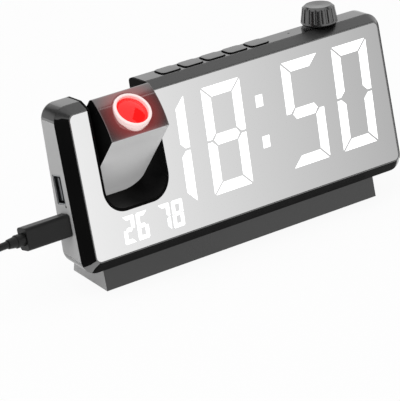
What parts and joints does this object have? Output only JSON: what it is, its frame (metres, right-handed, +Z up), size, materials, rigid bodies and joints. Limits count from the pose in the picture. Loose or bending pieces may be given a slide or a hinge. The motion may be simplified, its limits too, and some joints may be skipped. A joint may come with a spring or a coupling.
{
  "type": "projection_alarm_clock",
  "caption": "Slim projection alarm clock: mirror-faced case leaning on a low stand, tilting projector head in a side bay, top keys, fluted knob, USB output and power lead",
  "frame": {"origin": "On the table, at the middle of the stand's footprint.", "axes": "+X runs along the clock, to the right as seen from the front; -Y is the side the mirror faces; +Z is up."},
  "size_m": [0.348, 0.0741, 0.1022],
  "materials": {
    "case_plastic": "smooth moulded ABS, satin to gloss",
    "mirror_acrylic": "half-silvered acrylic",
    "black_plastic": "fine matte",
    "bearing_nylon": "natural nylon",
    "screw_steel": "zinc plated",
    "cell_steel": "stamped stainless",
    "spring_brass": "formed strip",
    "mask_plastic": "light-tight",
    "segment_diffuser": "frosted diffuser",
    "circuit_board": "solder mask",
    "speaker_cone": "paper cone in a steel basket",
    "port_steel": "folded shell",
    "knob_plastic": "fluted, satin",
    "shaft_aluminium": "turned",
    "head_plastic": "smooth moulded ABS",
    "slide_film": "clear film with a dark image",
    "ring_plastic": "satin",
    "lens_glass": "polished",
    "stand_plastic": "smooth moulded ABS",
    "pad_rubber": "soft, matte",
    "lead_plastic": "moulded PVC"
  },
  "bodies": {
    "case": {"front_bezel": "case_plastic", "mirror_panel": "mirror_acrylic", "projector_bay": "black_plastic", "pivot_bush_left": "bearing_nylon", "pivot_bush_right": "bearing_nylon", "rear_housing": "case_plastic", "case_screws": "screw_steel", "battery_door": "case_plastic", "door_screw": "screw_steel", "coin_cell": "cell_steel", "cell_contact": "spring_brass", "segment_mask": "mask_plastic", "segment_windows": "segment_diffuser", "display_board": "circuit_board", "main_board": "circuit_board", "speaker": "speaker_cone", "usb_socket": "port_steel", "power_socket": "port_steel", "port_board": "circuit_board", "key_switches": "black_plastic", "key_board": "circuit_board", "encoder_body": "port_steel", "stand": "stand_plastic", "stand_pads": "pad_rubber", "stand_screws": "screw_steel", "power_plug": "lead_plastic", "plug_strain_relief": "lead_plastic", "power_cord": "lead_plastic", "cord_coil": "lead_plastic", "usb_plug": "lead_plastic"},
    "projector_head": {"projector_front_shell": "head_plastic", "projector_rear_shell": "head_plastic", "pivot_pin_left": "bearing_nylon", "pivot_pin_right": "bearing_nylon", "projector_lamp": "circuit_board", "slide_carrier": "black_plastic", "image_slide": "slide_film"},
    "focus_barrel": {"focus_ring": "ring_plastic", "projector_lens": "lens_glass"},
    "knob": {"volume_knob": "knob_plastic", "encoder_shaft": "shaft_aluminium"},
    "key_1": {"key_1": "case_plastic"},
    "key_2": {"key_2": "case_plastic"},
    "key_3": {"key_3": "case_plastic"},
    "key_4": {"key_4": "case_plastic"},
    "key_5": {"key_5": "case_plastic"}
  },
  "joints": [
    {"name": "projector_tilt", "type": "hinge", "parent": "case", "child": "projector_head", "pos_m": [-0.0642, 0.00429, 0.06724], "axis": [1, 0, 0], "range_deg": [-125, 55]},
    {"name": "focus_turn", "type": "hinge", "parent": "projector_head", "child": "focus_barrel", "pos_m": [-0.0642, -0.00985, 0.08789], "axis": [0, -0.5314, 0.8471], "range_deg": [-60, 60]},
    {"name": "knob_turn", "type": "hinge", "parent": "case", "child": "knob", "pos_m": [0.066, 0.01128, 0.09126], "axis": [0, 0.1219, 0.9925], "continuous": true},
    {"name": "key_1_press", "type": "slide", "parent": "case", "child": "key_1", "axis": [0, -0.1219, -0.9925], "range_m": [0, 0.0005], "stiffness_N_per_m": 400},
    {"name": "key_2_press", "type": "slide", "parent": "case", "child": "key_2", "axis": [0, -0.1219, -0.9925], "range_m": [0, 0.0005], "stiffness_N_per_m": 400},
    {"name": "key_3_press", "type": "slide", "parent": "case", "child": "key_3", "axis": [0, -0.1219, -0.9925], "range_m": [0, 0.0005], "stiffness_N_per_m": 400},
    {"name": "key_4_press", "type": "slide", "parent": "case", "child": "key_4", "axis": [0, -0.1219, -0.9925], "range_m": [0, 0.0005], "stiffness_N_per_m": 400},
    {"name": "key_5_press", "type": "slide", "parent": "case", "child": "key_5", "axis": [0, -0.1219, -0.9925], "range_m": [0, 0.0005], "stiffness_N_per_m": 400}
  ]
}
